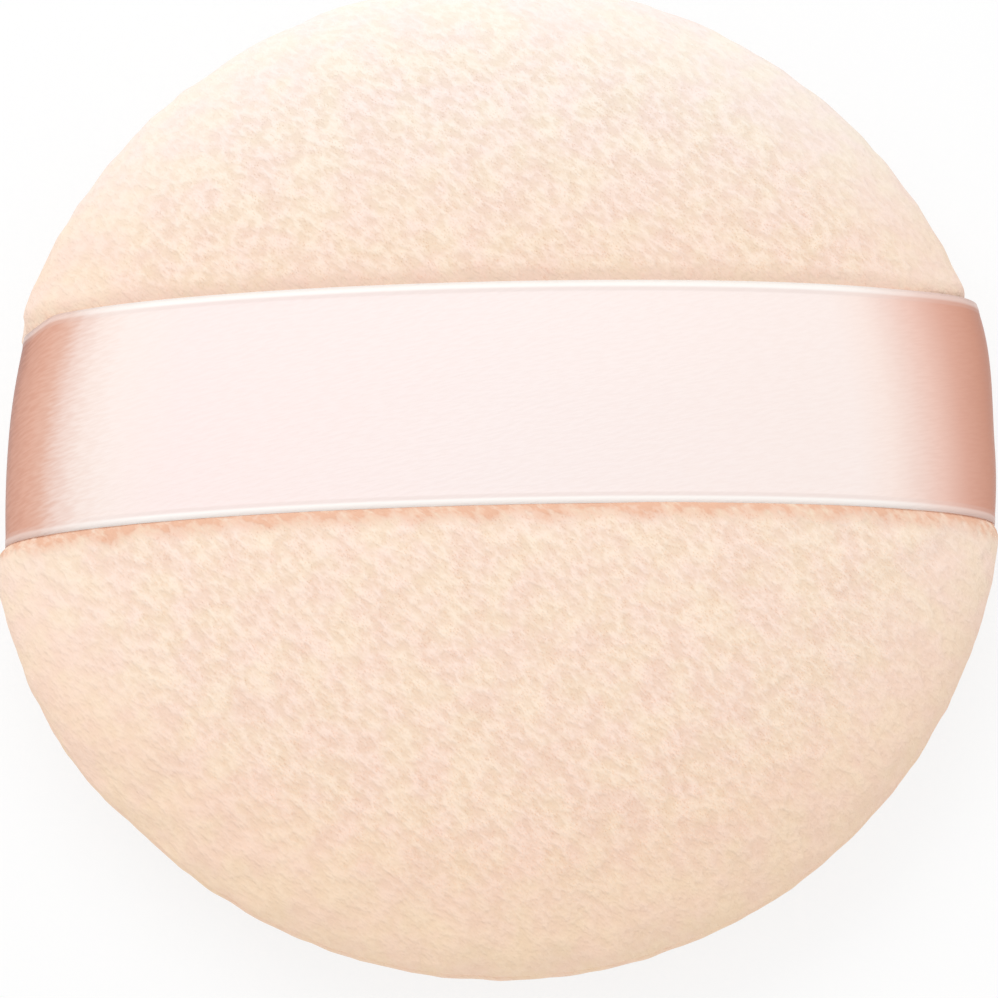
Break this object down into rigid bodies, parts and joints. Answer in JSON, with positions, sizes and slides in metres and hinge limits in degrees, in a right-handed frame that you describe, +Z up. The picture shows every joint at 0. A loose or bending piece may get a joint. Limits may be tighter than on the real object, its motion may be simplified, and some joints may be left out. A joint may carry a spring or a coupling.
{
  "type": "powder puff",
  "caption": "Round cushioned velour powder puff with a satin ribbon sewn across its back, which lifts to let the fingers under it.",
  "frame": {"origin": "on the surface that the puff lies on, below the middle of the pad", "axes": "+Z up out of the back of the puff, X along the ribbon, Y across it"},
  "size_m": [0.0858, 0.0898, 0.0184],
  "materials": {
    "velour": "matte",
    "sponge": "matte",
    "satin": "satin",
    "thread": "satin"
  },
  "bodies": {
    "pad": {"lower_cover": "velour", "upper_cover": "velour", "sponge_core": "sponge", "ribbon_end_left": "satin", "ribbon_end_right": "satin", "seam_thread": "thread", "closing_thread": "thread"},
    "strap": {"ribbon_strap": "satin"}
  },
  "joints": [
    {"name": "strap_lift", "type": "slide", "parent": "pad", "child": "strap", "axis": [0, 0, 1], "range_m": [0, 0.008]}
  ]
}
